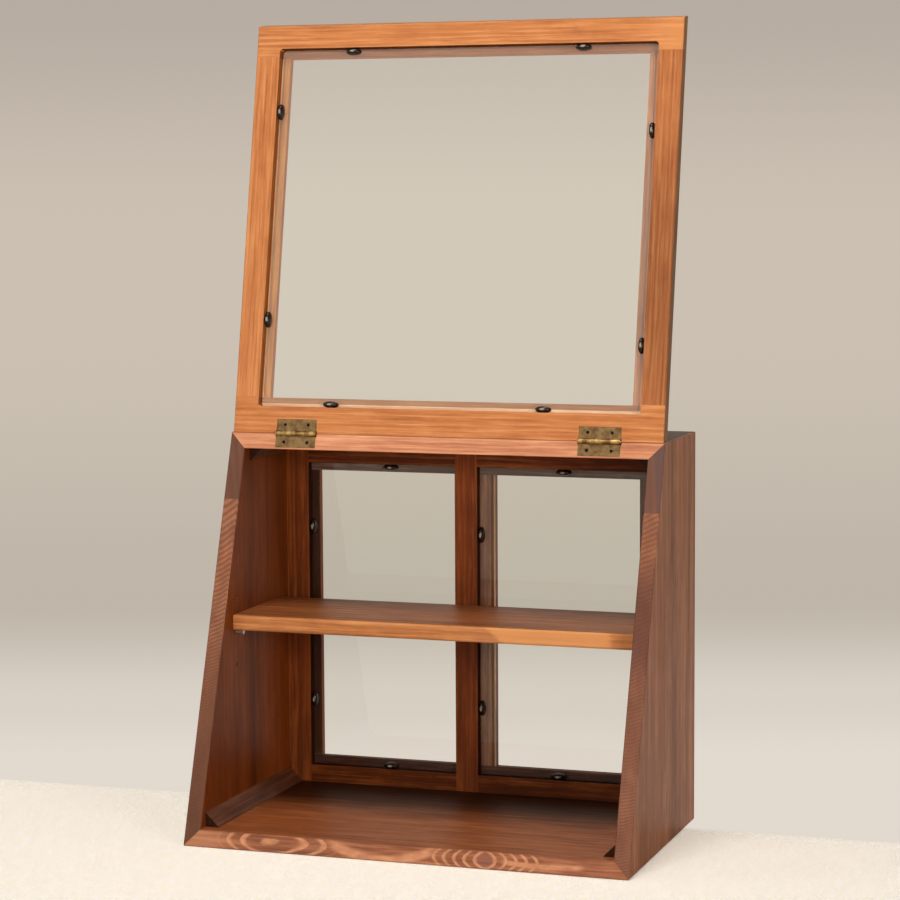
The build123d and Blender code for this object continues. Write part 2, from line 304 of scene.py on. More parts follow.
def layers_round(board, heart, scale, power=1.0, sway=1.2, jitter=0.35):
    """Layer count at a point: scale x distance ** power, with the distance measured
    from the heart line at (across, through), swayed by noise of that many mm. Jitter
    makes some years wide and others narrow."""
    wave = (150, 40, 40)
    across = board.across - heart[0] + board.noise(wave, 2.0) * sway
    through = board.through - heart[1] + board.noise(wave, 2.0, shift=40.0) * sway
    distance = (across * across + through * through).root()
    count = distance**power * scale
    return count + board.noise((220, 7, 7), 1.0, shift=31.0) * jitter


def pale_line(count, width=0.35):
    """1 on the hard layer that ends each year and 0 on the soft one before it."""
    year = count - count.math("FLOOR")
    return year.rise(1 - 2 * width, 1 - width) * year.fall(1 - 0.4 * width, 1.0)


print("a board 60 mm from the heart cuts about", round(60 / 2.2), "layers of 2.2 mm")

# %% [markdown]
# ## From layers to a varnished surface
# The eye reads more than the layers: fibres a hair wide, streaks some mm wide, and
# blotches where the stain took well or badly. With the layers they add up to one
# number for how light the wood is, which moves the colour from a deep tone through a
# soft one to a hard, pale one. Large patches of glow and shade lie over it. Single
# faces have tones of their own, some from the stain and some painted light and shade,
# and sawn ends are darker. The varnish is satin, so roughness follows the fibres a
# little, and the fibres raise the surface by a few hundredths of a millimetre.

# %% How light the wood is

# the look of a board, where its own look says nothing else
PLAIN_LOOK = {
    "line": 0.4,  # how pale the hard layers are
    "width": 0.35,  # how much of a year they take up
    "quiet": (),  # faces with weaker lines: an axis and the share that is left
    "calm": None,  # the face with weaker streaks, in the same way
    "streaks": (150, 3.4, 3.4),  # their size in mm, along, across and through
    "streak": 0.7,
    "fibre": 0.6,
    "blotch": 0.3,
    "glow_amount": 0.4,  # the most that the glow covers
    "shade_amount": 0.35,
    "end": 0.35,  # how much darker a sawn end is
    "tones": (),  # faces with their own tone: an axis, places on it and the tone
    "gloss": 0.3,
}


def lightness(board, layers, look):
    """Sum of the hard layers, streaks, fibres and blotches, about 0 in plain wood."""
    rich = 0.65 + board.noise((70, 9, 9), 2.0, shift=61.0) * 0.5
    line = pale_line(layers, look["width"]) * rich * look["line"]
    for axis, share in look["quiet"]:
        line = line * (1 - board.faces(axis) * (1 - share))
    streak = board.noise(look["streaks"], 4.0, 0.6, shift=5.0) * look["streak"]
    streak += board.noise((30, 1.5, 1.5), 3.0, 0.7, shift=17.0) * look["fibre"]
    if look["calm"]:
        axis, share = look["calm"]
        streak = streak * (1 - board.faces(axis) * (1 - share))
    blotch = board.noise((20, 9, 9), 4.0, 0.6, shift=23.0) * look["blotch"]
    return line + streak + blotch


# %% Colour and relief of a board

SATIN = 0.44
FIBRE_RELIEF = 0.12 * MM


def stained_board(board, layers, look, tint=None):
    """Colour = deep, soft or hard by lightness, then patches of glow and shade, the
    tones of single faces and sawn ends. tint(board, colour) adds what only this board
    has."""
    finish = board.finish
    look = {**PLAIN_LOOK, **look}
    light = lightness(board, layers, look)
    patch = board.noise((130, 17, 17), 3.0, shift=11.0)
    cloud = board.noise((55, 18, 18), 3.0, shift=29.0)
    colour = blend(finish, light, paint(*look["soft"]), paint(*look["hard"]))
    colour = blend(finish, light * -1.0, colour, paint(*look["deep"]))
    glow = patch.rise(-0.1, 1.1) * look["glow_amount"]
    colour = blend(finish, glow, colour, paint(*look["glow"]))
    shade = cloud.rise(0.0, 1.2) * look["shade_amount"]
    colour = blend(finish, shade, colour, paint(*look["shade"]))
    if tint:
        colour = tint(board, colour)
    tone = paint(255, 255, 255)
    for axis, places, there in look["tones"]:
        here = board.region(axis, **places)
        tone = blend(finish, here, tone, ratio(there, look["soft"]))
    colour = blend(finish, 1.0, colour, tone, "MULTIPLY")
    colour = brighten(finish, colour, 1 - board.end_grain() * look["end"])
    bump = finish.node(
        "ShaderNodeBump",
        {},
        {"Strength": 0.3, "Distance": FIBRE_RELIEF, "Height": light},
    )
    surface = finish.node(
        "ShaderNodeBsdfPrincipled",
        {},
        {
            "Base Color": colour,
            "Roughness": SATIN - light * 0.06 + cloud * 0.04,
            "Specular IOR Level": look["gloss"],
            "Normal": bump,
        },
    )
    return finish.end(surface)


# %% Give a board its finish


def dress(node, material):
    """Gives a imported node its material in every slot."""
    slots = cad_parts[node].material_slots
    for slot in slots:
        slot.material = material
    print(node, "wears", material.name)


# which way a board lies: along its grain, across it and through it
ALONG_X = (X_AXIS, Y_AXIS, Z_AXIS)
ALONG_Y = (Y_AXIS, X_AXIS, Z_AXIS)
ALONG_Z = (Z_AXIS, X_AXIS, Y_AXIS)
SIDE_GRAIN = (Z_AXIS, Y_AXIS, X_AXIS)
LID_ALONG_X = (X_AXIS, LID_UP, LID_OUT)
LID_ALONG_UP = (LID_UP, X_AXIS, LID_OUT)
# inner faces: the lid's along LID_OUT, and the back frame's along y
LID_FACE, BACK_FACE = 41.44, 67.0


def plain_board(node, axes, heart, scale, look, seed, tint=None, sway=1.2):
    """A board with one heart line and layers all round it."""
    finish = Finish(node + "_wood_grain")
    board = Board(finish, *axes, seed)
    count = layers_round(board, heart, scale, sway=sway)
    dress(node, stained_board(board, count, look, tint))


# %% [markdown]
# ## The sides of the case
# Dark, reddish softwood. Each side is glued up from two strips of different wood,
# with their joint about 10 mm in front of the middle, so the layers break off there.
# The heart of the front strip lies close behind the joint: there the years are wide
# and steep across the edge, and towards the foot they get narrow and flat. The
# inside took more stain and is browner than the outside.

# %% Side boards

GLUE_JOINT = -9.8
REAR_SCALE, REAR_START = 0.22, 0.37
OUTSIDE = (146, 91, 60)
INSIDE = (112, 51, 13)
SLOPE = math.radians(18.8)
EDGE_WAY = (0, -math.cos(SLOPE), math.sin(SLOPE))
SIDE = {
    "calm": (EDGE_WAY, 0.3),
    "deep": (78, 44, 32),
    "soft": (128, 80, 56),
    "hard": (178, 118, 88),
    "glow": (164, 94, 56),
    "shade": (100, 64, 52),
    "line": 0.55,
    "width": 0.42,
    "streaks": (190, 6.5, 6.5),
    "streak": 0.6,
    "fibre": 0.3,
    "shade_amount": 0.5,
    "end": 0.2,
    "gloss": 0.12,
}
LEFT_REAR, LEFT_FOOT = (98, 64, 49), (92, 56, 38)
RIGHT_REAR, RIGHT_WEDGE = (104, 70, 58), (98, 74, 68)
RIGHT_FOOT, RIGHT_MAUVE = (92, 58, 50), (82, 50, 44)


def side_board(node, hearts, scale, power, look, seed, tint):
    """A side of two strips: each has its own heart, and a step picks between them. The
    rear strip's years start elsewhere, so that no line runs on over the joint."""
    finish = Finish(node + "_wood_grain")
    board = Board(finish, *SIDE_GRAIN, seed)
    behind = board.across.math("GREATER_THAN", GLUE_JOINT)
    front = layers_round(board, hearts[0], scale, power, sway=0.7, jitter=0.25)
    rear = layers_round(board, hearts[1], REAR_SCALE, sway=1.5) + REAR_START
    count = front * (1 - behind) + rear * behind
    dress(
        node,
        stained_board(board, count, look, lambda b, c: tint(b, c, behind)),
    )


# %% Marks of the two sides


def left_tint(board, colour, behind):
    """The back strip is duller and the foot of the front strip mauve. Inside, a dark
    streak runs up the board, and painted shade darkens its back."""
    finish = board.finish
    inside = board.faces(X_AXIS)
    edge = 1 - inside
    colour = blend(finish, behind * edge * 0.85, colour, paint(*LEFT_REAR))
    foot = board.along.fall(70, 158) * (1 - behind) * edge * 0.62
    colour = blend(finish, foot, colour, paint(*LEFT_FOOT))
    colour = brighten(finish, colour, 1 - board.along.fall(10, 70) * edge * 0.25)
    swayed = board.across + board.noise((90, 8, 8), 2.0, shift=91.0) * 5
    dark = swayed.near(8, 1.0, 9.0)
    colour = brighten(finish, colour, 1 - inside * dark * 0.4)
    # painted shade: the inside darkens towards the back and the top
    rear = board.across.rise(0, 62) * board.along.rise(40, 190)
    return brighten(finish, colour, 1 - inside * rear * 0.3)


def right_tint(board, colour, behind):
    """The back strip has a grey wedge along its outer arris, and the front strip turns
    mauve at half height. Outside, a dark streak runs up the middle of the board."""
    finish = board.finish
    outside = board.faces(X_AXIS)
    edge = 1 - outside
    front = edge * (1 - behind)
    colour = blend(finish, behind * edge * 0.8, colour, paint(*RIGHT_REAR))
    wedge = (board.through - 125.5 + (board.along - 233) * 0.16).rise(0.0, 2.5)
    colour = blend(finish, wedge * behind * edge * 0.7, colour, paint(*RIGHT_WEDGE))
    low = board.along.fall(140, 175) * front
    colour = blend(finish, low * 0.3, colour, paint(*RIGHT_FOOT))
    mauve = board.along.near(138, 14, 40) * front
    colour = blend(finish, mauve * 0.5, colour, paint(*RIGHT_MAUVE))
    swayed = board.across + board.noise((120, 9, 9), 2.0, shift=91.0) * 6
    dark = swayed.near(22, 1.0, 12.0)
    return brighten(finish, colour, 1 - outside * dark * 0.25)

# %% The left side and the right side

left_look = dict(
    SIDE,
    line=0.8,
    quiet=((X_AXIS, 0.1), (LEFTWARD, 0.1)),
    tones=((X_AXIS, {}, INSIDE), (LEFTWARD, {}, OUTSIDE)),
)
right_look = dict(
    SIDE,
    line=0.5,
    quiet=((X_AXIS, 0.2), (LEFTWARD, 0.15)),
    tones=((X_AXIS, {}, OUTSIDE), (LEFTWARD, {}, INSIDE)),
)
side_board(
    "left_side",
    hearts=((35, -138.6), (40, -60)),
    scale=6.15e-4,
    power=2.57,
    look=left_look,
    seed=1,
    tint=left_tint,
)
side_board(
    "right_side",
    hearts=((60, 115.5), (-30, 60)),
    scale=6.7e-3,
    power=2.0,
    look=right_look,
    seed=2,
    tint=right_tint,
)

# %% [markdown]
# ## The bottom board
# The front edge of the bottom board cuts its layers almost along them. Where the
# layers swell towards the edge they show as an eye with rings round it, and the
# board has two such eyes. Each eye is a hill of layers: a rounded ridge along the
# board, and a parabola through its thickness. Between and beside them single hard
# layers run along the edge as bent bands.

# %% Eyes and bands


def eye(board, place, height, reach, sharp, depth, power=1.0):
    """Layers round an eye: (root(r ** 2 + sharp ** 2) - sharp) ** power along it, with
    r the distance from the eye over its reach on that side, plus (z / depth) ** 2
    through it."""
    run = board.along - place
    run = run.math("MINIMUM", 0) / reach[0] + run.math("MAXIMUM", 0) / reach[1]
    ridge = ((run * run + sharp * sharp).root() - sharp) ** power
    lift = (board.through - height) / depth
    return ridge + lift * lift


def band(board, place, height, bend, reach, width):
    """A hard layer along the edge: z = height + bend x ** 2, to a reach each way."""
    run = board.along - place
    off = (board.through - height - run * run * bend).size()
    return off.fall(width * 0.3, width) * run.size().fall(reach * 0.7, reach)


# %% Marks of the bottom board

EYE_CORE, EYE_RING, BLUSH = (140, 92, 78), (218, 150, 108), (190, 128, 92)


def bottom_tint(board, colour):
    """Eyes, bands and a pinkish left end on the front edge, and painted shade that
    darkens the back of the upper face.
    """
    finish = board.finish
    edge = board.faces(EDGE_WAY)
    wobble = board.noise((12, 4, 4), 3.0, 0.6, shift=71.0) * 0.12
    left = wobble + eye(
        board,
        place=-82.0,
        height=5.8,
        reach=(14.5, 21.5),
        sharp=0.1,
        depth=6.2,
        power=1.5,
    )
    right = wobble + eye(
        board, place=50.0, height=4.9, reach=(6.0, 6.0), sharp=0.4, depth=5.4
    )
    marks = pale_line(left + 0.84, 0.25) * left.fall(2.4, 3.2)
    for mark in (
        pale_line(right + 0.08, 0.26) * right.fall(4.6, 6.0),
        band(board, place=-12.0, height=0.8, bend=0.007, reach=36.0, width=3.8),
        band(board, place=84.0, height=3.6, bend=0.0016, reach=26.0, width=2.0),
    ):
        marks = marks.math("MAXIMUM", mark)
    pale = marks * (0.62 + board.noise((7, 3, 3), 3.0, shift=77.0) * 0.4)
    core = right.fall(0.3, 0.9)
    colour = blend(finish, edge * core * 0.45, colour, paint(*EYE_CORE))
    colour = blend(finish, edge * pale, colour, paint(*EYE_RING))
    left_end = board.along.fall(-120, -98)
    colour = blend(finish, edge * left_end * 0.5, colour, paint(*BLUSH))
    # painted shade: the upper face darkens towards the back
    dull = board.faces(Z_AXIS) * board.across.rise(-20, 50) * 0.85
    return brighten(finish, colour, 1 - dull)


# %% The bottom board itself

bottom_look = {
    "deep": (84, 44, 30),
    "soft": (146, 88, 60),
    "hard": (194, 130, 92),
    "glow": (168, 94, 50),
    "shade": (110, 66, 52),
    "line": 0.2,
    "streaks": (60, 3.0, 2.2),
    "streak": 0.7,
    "glow_amount": 0.5,
    "quiet": ((Z_AXIS, 0.15),),
    "tones": ((Z_AXIS, {}, (142, 78, 42)),),
    "gloss": 0.1,
}
plain_board(
    "bottom_board",
    ALONG_X,
    heart=(-90, -60),
    scale=0.3,
    look=bottom_look,
    seed=4,
    tint=bottom_tint,
)

# %% [markdown]
# ## The top board and the corner battens
# The front edge of the top board is pale and streaky, and its upper face is so much
# darker that the lines hardly show. Its heart line lies above its back half, so the
# layers cut the front edge at a slant. The four three-cornered battens that back the
# glued corners are nearly black: a dark stain with the painted shade of the corners in
# it. Each could be dressed by itself, but only the seed of their noise differs, so one
# loop serves them.

# %% Top board and battens

top_look = {
    "deep": (140, 82, 56),
    "soft": (196, 126, 88),
    "hard": (236, 168, 126),
    "glow": (222, 146, 104),
    "shade": (172, 110, 88),
    "line": 0.4,
    "streaks": (90, 2.6, 2.0),
    "quiet": ((Z_AXIS, 0.25),),
    "tones": ((Z_AXIS, {}, (94, 58, 36)),),
    "gloss": 0.15,
}
plain_board(
    "top_board",
    ALONG_X,
    heart=(60, 262),
    scale=0.42,
    look=top_look,
    seed=3,
    sway=2.5,
)
# nearly black: a dark stain with the painted shade of the glued corners in it
BATTEN = {
    "deep": (50, 26, 16),
    "soft": (88, 46, 26),
    "hard": (124, 74, 48),
    "glow": (108, 56, 30),
    "shade": (72, 40, 28),
    "line": 0.2,
    "end": 0.7,
    "gloss": 0.1,
}
battens = ("bottom_left", "bottom_right", "top_left", "top_right")
for seed, place in enumerate(battens, 5):
    plain_board(place + "_batten", ALONG_Y, (60, 40), 0.4, BATTEN, seed)

# %% [markdown]
# ## The frame at the back
# Its stiles and rails are browner, with orange streaks. Their rebate walls are nearly
# black: stain gathered there, and shade is painted over it. The lips behind the panes
# are dull. The right lip of the mullion has a pale band along its arris, with a dark
# line before it. A lookup of face, place and tone says this for each board in turn.

# %% Uprights of the back frame

FACE_TO_LAP = {"across": (66.5, 72.0)}
LAP_TO_BACK = {"across": (71.9, 99.0)}
UPRIGHT_FACE_TO_LAP = {"through": (66.5, 72.0)}
UPRIGHT_LAP_TO_BACK = {"through": (71.9, 99.0)}
FRONTWARD, DOWNWARD = (0, -1, 0), (0, 0, -1)
# the rebate walls: stain with painted shade over it, nearly black
WALL_STAIN_AND_SHADE = (40, 18, 8)
BACK = {
    "deep": (64, 28, 12),
    "soft": (112, 52, 20),
    "hard": (158, 84, 36),
    "glow": (168, 84, 28),
    "shade": (74, 34, 18),
    "line": 0.2,
    "streaks": (120, 4.0, 4.0),
    "streak": 0.85,
    "fibre": 0.6,
    "glow_amount": 0.55,
    "shade_amount": 0.65,
    "gloss": 0.1,
}
BACK_SCALE = 0.4
uprights = (
    ("back_left_stile", (10, 150), (X_AXIS,), (60, 32, 20)),
    ("back_right_stile", (30, 160), (LEFTWARD,), (90, 60, 48)),
    ("back_mullion", (60, 140), (X_AXIS, LEFTWARD), (122, 80, 60)),
)
# a pale band along the arris of the mullion's right lip, and a dark line before it
mullion_arris = (((9.2, 10.4), (164, 124, 98)), ((7.4, 9.2), (92, 50, 26)))
for seed, (node, heart, walls, lip) in enumerate(uprights, 10):
    tones = [(way, UPRIGHT_FACE_TO_LAP, WALL_STAIN_AND_SHADE) for way in walls]
    tones.append((FRONTWARD, UPRIGHT_LAP_TO_BACK, lip))
    # across counts from the middle of the case, so only the mullion is there
    for place, tone in mullion_arris:
        tones.append((FRONTWARD, {**UPRIGHT_LAP_TO_BACK, "across": place}, tone))
    plain_board(node, ALONG_Z, heart, BACK_SCALE, dict(BACK, tones=tones), seed)

# %% Rails of the back frame

RAIL = dict(BACK, soft=(88, 38, 10), glow=(128, 58, 17), shade_amount=0.5)
cross_rails = (
    ("back_top_rail", (150, 260), DOWNWARD, (92, 64, 50)),
    ("back_bottom_rail", (160, -40), Z_AXIS, (70, 36, 22)),
)
for seed, (node, heart, wall, lip) in enumerate(cross_rails, 14):
    tones = ((wall, FACE_TO_LAP, WALL_STAIN_AND_SHADE), (FRONTWARD, LAP_TO_BACK, lip))
    plain_board(node, ALONG_X, heart, BACK_SCALE, dict(RAIL, tones=tones), seed)

# %% [markdown]
# ## The lid
# Lighter wood of the same kind, stained orange. The lid is rebated like the back. Its
# outer edges are darker, partly with stain and partly with painted shade. The rebate
# walls of the free rail and the stiles are darker too, with stain and painted shade,
# most of all under the free rail. Along the walls, light caught in the pane is painted
# as pale bands on the lips of the hinge rail and the stiles, and shade as a dark band
# under the wall of the free rail. Its boards could be modelled lying flat and turned,
# but they have to stay where the model holds them, so their axes are tilted instead.

# %% Looks of the lid

LID_LAP, LID_BACK = LID_FACE - 5.0, LID_FACE - 8.5
LID_FACE_TO_LAP = {"through": (LID_LAP, LID_FACE + 1)}
LID_LAP_TO_BACK = {"through": (LID_BACK, LID_LAP)}
LID_DOWN = (0, -math.sin(LEAN), -math.cos(LEAN))
LID_START = PIN_Y * LID_UP[1] + PIN_Z * LID_UP[2]
# the lid's outer edges: darker with stain and painted shade
EDGE_STAIN_AND_SHADE = (124, 78, 38)
LID = {
    "deep": (142, 74, 36),
    "soft": (195, 120, 68),
    "hard": (228, 158, 100),
    "glow": (218, 140, 80),
    "shade": (170, 96, 58),
    "line": 0.22,
    "streaks": (110, 1.8, 1.8),
    "shade_amount": 0.5,
    "end": 0.0,
    "gloss": 0.12,
}
DARK_LID = dict(
    LID,
    deep=(118, 60, 30),
    soft=(172, 101, 56),
    hard=(208, 138, 84),
    glow=(196, 122, 68),
    shade=(132, 68, 38),
    line=0.35,
    streaks=(140, 1.6, 1.6),
)

# %% Marks of two lid boards

RAIL_BRIGHT, RAIL_DULL = (236, 160, 98), (160, 94, 68)


def free_rail_tint(board, colour):
    """The rail turns bright orange at its right end, with a dull patch before it."""
    finish = board.finish
    bright = board.along.rise(96, 132) * 0.4
    colour = blend(finish, bright, colour, paint(*RAIL_BRIGHT))
    dull = board.along.near(68, 2, 16) * board.noise((6, 4, 4), 3.0).rise(0, 1)
    return blend(finish, dull * 0.6, colour, paint(*RAIL_DULL))


def right_stile_tint(board, colour):
    """The stile is darkest a little below its middle."""
    dull = board.along.near(LID_START + 94, 10, 110) * 0.26
    return brighten(board.finish, colour, 1 - dull)


# %% A board of the lid


def lid_board(node, axes, heart, look, lip, wall, corner, ends, seed, tint=None):
    """A board of the lid. Its lip, its rebate wall (where it looks and its tone), the
    corner under the wall (where it lies and its tone) and its outer edges have tones of
    their own. The wall and edge tones hold stain and painted shade, and the corner tone
    painted light caught in the pane, or painted shade under the free rail's wall."""
    wall_way, wall_tone = wall
    place, corner_tone = corner
    tones = [
        (LID_OUT, LID_LAP_TO_BACK, lip),
        (wall_way, LID_FACE_TO_LAP, wall_tone),
        (LID_OUT, {**LID_LAP_TO_BACK, "across": place}, corner_tone),
    ]
    tones += [(way, {}, EDGE_STAIN_AND_SHADE) for way in ends]
    look = dict(look, tones=tones)
    plain_board(node, axes, heart, 0.45, look, seed, tint, sway=2.5)


# %% The four boards of the lid

# pale corner band: painted light caught in the pane
lid_board(
    "lid_hinge_rail",
    LID_ALONG_X,
    heart=(262, 0),
    look=LID,
    lip=(168, 110, 64),
    wall=(LID_UP, (196, 122, 70)),
    corner=((LID_START + 15, LID_START + 18.5), (244, 184, 136)),
    ends=(X_AXIS, LEFTWARD),
    seed=20,
)
# dark wall: stain and painted shade; dark corner band: painted shade
lid_board(
    "lid_free_rail",
    LID_ALONG_X,
    heart=(500, 0),
    look=LID,
    lip=(176, 108, 66),
    wall=(LID_DOWN, (96, 50, 16)),
    corner=((LID_START + 232.5, LID_START + 235), (128, 74, 38)),
    ends=(X_AXIS, LEFTWARD),
    seed=21,
    tint=free_rail_tint,
)
# darker wall: stain and painted shade; pale corner band: painted light at the pane's
# edge
lid_board(
    "lid_left_stile",
    LID_ALONG_UP,
    heart=(-130, 0),
    look=LID,
    lip=(186, 118, 58),
    wall=(X_AXIS, (140, 84, 40)),
    corner=((-118.9, -117.0), (244, 182, 128)),
    ends=(LEFTWARD,),
    seed=22,
)
# darker wall: stain and painted shade; pale corner band: painted light
lid_board(
    "lid_right_stile",
    LID_ALONG_UP,
    heart=(60, 90),
    look=DARK_LID,
    lip=(190, 124, 84),
    wall=(LEFTWARD, (140, 84, 42)),
    corner=((117.4, 119.5), (226, 148, 98)),
    ends=(X_AXIS,),
    seed=23,
    tint=right_stile_tint,
)

# %% [markdown]
# ## The shelf
# A thin board that lies loose on four pins. A part of its front edge is bright. A mask
# between two places would end in straight cuts, so noise is added to the distance
# first, and the ends of the patch fray as in real wood.

# %% Shelf

SHELF_LEAD, SHELF_PATCH = (160, 96, 64), (222, 150, 90)


def shelf_tint(board, colour):
    """A bright patch with ragged ends on the right half of the front edge, a dark lead
    before it, and a dark streak along the front of the top."""
    finish = board.finish
    top = board.faces(Z_AXIS)
    edge = 1 - top
    ragged = board.noise((5, 2.4, 2.4), 3.0, shift=83.0) * 2.5
    from_start = board.along - 36 + (board.through - 125) * 1.3 + ragged
    stop = (board.along - 108 - ragged).fall(-2.0, 4.0)
    ahead = from_start.size().fall(0.0, 30.0) * from_start.fall(-1.5, 3.0)
    colour = blend(finish, edge * ahead * 0.3, colour, paint(*SHELF_LEAD))
    patch = edge * from_start.rise(-1.5, 3.0) * stop
    colour = blend(finish, patch * 0.75, colour, paint(*SHELF_PATCH))
    swayed = board.across + board.noise((90, 9, 9), 2.0, shift=97.0) * 2
    streak = top * swayed.near(-14.5, 0.5, 4.0) * 0.28
    return brighten(finish, colour, 1 - streak)


shelf_look = {
    "deep": (128, 70, 36),
    "soft": (184, 114, 64),
    "hard": (224, 152, 94),
    "glow": (212, 138, 74),
    "shade": (156, 92, 54),
    "line": 0.25,
    "streaks": (110, 3.2, 2.6),
    "streak": 0.9,
    "tones": ((Z_AXIS, {}, (142, 80, 40)),),
    "gloss": 0.15,
}
plain_board(
    "shelf",
    ALONG_X,
    heart=(-90, 60),
    scale=0.3,
    look=shelf_look,
    seed=30,
    tint=shelf_tint,
)

# %% [markdown]
# ## Window glass
# Thin clear panes. Real glass lets nearly all light through and reflects a little,
# more at a glancing angle. A full glass shader would throw dark shadows into the
# case, so a pane is a mix of a transparent and a glossy shader by the Fresnel law.

# %% Panes

GLASS_CLEAR, GLASS_MIRROR = (0.995, 1.0, 0.985, 1), (1.0, 0.95, 0.87, 1)
GLASS_EDGE = (226, 200, 170)


def pane_material(name, axis, mirror):
    """Mix(transparent, gloss) by Fresnel on the side that a ray enters by. mirror
    stands for the other face of the pane, because a ray that isn't bent would be held
    inside. The cut edges, which don't look along the axis, have no gloss and tint what
    is seen through them."""
    finish = Finish(name)
    board = Board(finish, X_AXIS, Y_AXIS, Z_AXIS, 40)
    gloss = finish.node(
        "ShaderNodeBsdfGlossy", {}, {"Color": GLASS_MIRROR, "Roughness": 0.03}
    )
    clear = finish.node("ShaderNodeBsdfTransparent", {}, {"Color": GLASS_CLEAR})
    edge = finish.node("ShaderNodeBsdfTransparent", {}, {"Color": paint(*GLASS_EDGE)})
    fresnel = finish.node("ShaderNodeFresnel", {}, {"IOR": 1.5})
    outside = 1 - finish.node("ShaderNodeNewGeometry", out="Backfacing")
    mirrored = fresnel * outside * mirror
    mixed = finish.node("ShaderNodeMixShader", {}, {0: mirrored, 1: clear, 2: gloss})
    flat = board.looks_along(axis).size().rise(0.5, 0.7)
    return finish.end(
        finish.node("ShaderNodeMixShader", {}, {0: flat, 1: edge, 2: mixed})
    )


lid_pane = pane_material("lid_pane_clear", LID_OUT, 1.8)
back_pane = pane_material("back_pane_clear", Y_AXIS, 1.6)
dress("lid_glass", lid_pane)
dress("back_left_glass", back_pane)
dress("back_right_glass", back_pane)

# %% [markdown]
# ## Brass, bronze and steel
# The hinge leaves are brass gone olive-brown. The pins and knuckles are brighter:
# rubbed brass with painted highlights. The studs have a dark bronze lacquer with a
# painted highlight on the crown of each head, and the shelf pins are plain steel.
# One function serves them all: a metal colour, a stain in patches, fine scratches,
# and a tint for what lies at one place.

# %% A metal


def metal(
    name, base, stain, roughness, patches, seed, tint=None, metallic=0.9, gloss=0.5
):
    """Metal colour mixed with a stain in patches, rougher where it is stained. tint may
    change the colour by place."""
    finish = Finish(name)
    board = Board(finish, X_AXIS, Y_AXIS, Z_AXIS, seed)
    cloud = board.noise((patches, patches, patches), 4.0, 0.6)
    scratch = board.noise((9, 0.35, 0.35), 2.0, shift=3.0)
    tarnish = cloud.rise(-0.6, 0.8)
    colour = blend(finish, tarnish, paint(*base), paint(*stain))
    if tint:
        colour = tint(board, colour)
    bump = finish.node(
        "ShaderNodeBump",
        {},
        {"Strength": 0.3, "Distance": 0.0001, "Height": cloud * 0.4 + scratch * 0.3},
    )
    surface = finish.node(
        "ShaderNodeBsdfPrincipled",
        {},
        {
            "Base Color": colour,
            "Metallic": metallic,
            "Specular IOR Level": gloss,
            "Roughness": roughness + tarnish * 0.15 + scratch * 0.04,
            "Normal": bump,
        },
    )
    return finish.end(surface)


# %% Tints by place

SCREW_COLUMNS = (-99.6, -85.0, 87.8, 102.4)
SCREW_FROM_PIN = 5.3
KNUCKLE_BROWN, KNUCKLE_RUB_AND_HIGHLIGHT, RECESS_SHADE = (120, 84, 40), (214, 176, 108), (24, 18, 12)
# the tone of a painted highlight on each stud's crown
CROWN_HIGHLIGHT_TONE, CROWN = (170, 156, 138), 0.32


def from_pin(board):
    """Distance from the line of the hinge pins."""
    y, z = board.across - PIN_Y, board.through - PIN_Z
    return (y * y + z * z).root()


def barrel_rub_and_highlight(board, colour):
    """The knuckles are rubbed brass with painted highlights in places: they lie within
    1.7 mm of the pin's line."""
    barrel = from_pin(board).fall(1.62, 1.8)
    # patches of rubbed brass with painted highlights on the knuckles
    rubbed = board.noise((5, 9, 9), 2.0, shift=13.0).rise(-0.6, 0.5)
    colour = blend(board.finish, barrel * 0.9, colour, paint(*KNUCKLE_BROWN))
    return blend(board.finish, barrel * rubbed * 0.9, colour, paint(*KNUCKLE_RUB_AND_HIGHLIGHT))


def painted_recess_shade(board, colour):
    """The recess of a screw is black with painted shade: nearest column, then distance
    from the screw's axis, which stands 5.3 mm from the pin's line."""
    aside = (board.along - SCREW_COLUMNS[0]).size()
    for column in SCREW_COLUMNS[1:]:
        aside = aside.math("MINIMUM", (board.along - column).size())
    off = from_pin(board) - SCREW_FROM_PIN
    spread = (aside * aside + off * off).root()
    # painted shade in the recess
    return blend(board.finish, spread.fall(0.75, 1.15), colour, paint(*RECESS_SHADE))


def painted_crown_highlight(out, level):
    """A tint: a painted highlight on a stud's crown, above a level along out."""

    def tint(board, colour):
        # painted highlight on the crown
        crown = (board.distance(out) - level).rise(-0.1, 0.05)
        return blend(board.finish, crown * 0.8, colour, paint(*CROWN_HIGHLIGHT_TONE))

    return tint


def stud_bronze(name, out, face):
    """The lacquer of the studs whose crowns stand CROWN above a face."""
    return metal(
        name,
        base=(40, 22, 11),
        stain=(22, 13, 8),
        roughness=0.1,
        patches=2.0,
        seed=43,
        tint=painted_crown_highlight(out, face + CROWN),
        metallic=0.0,
        gloss=0.3,
    )


# %% The metals and the pieces that wear them

leaf_brass = metal(
    "tarnished_brass",
    base=(140, 110, 70),
    stain=(92, 68, 42),
    roughness=0.32,
    patches=4.0,
    seed=41,
    tint=barrel_rub_and_highlight,
)
screw_brass = metal(
    "screw_head_brass",
    base=(136, 106, 66),
    stain=(90, 68, 42),
    roughness=0.32,
    patches=2.0,
    seed=45,
    tint=painted_recess_shade,
)
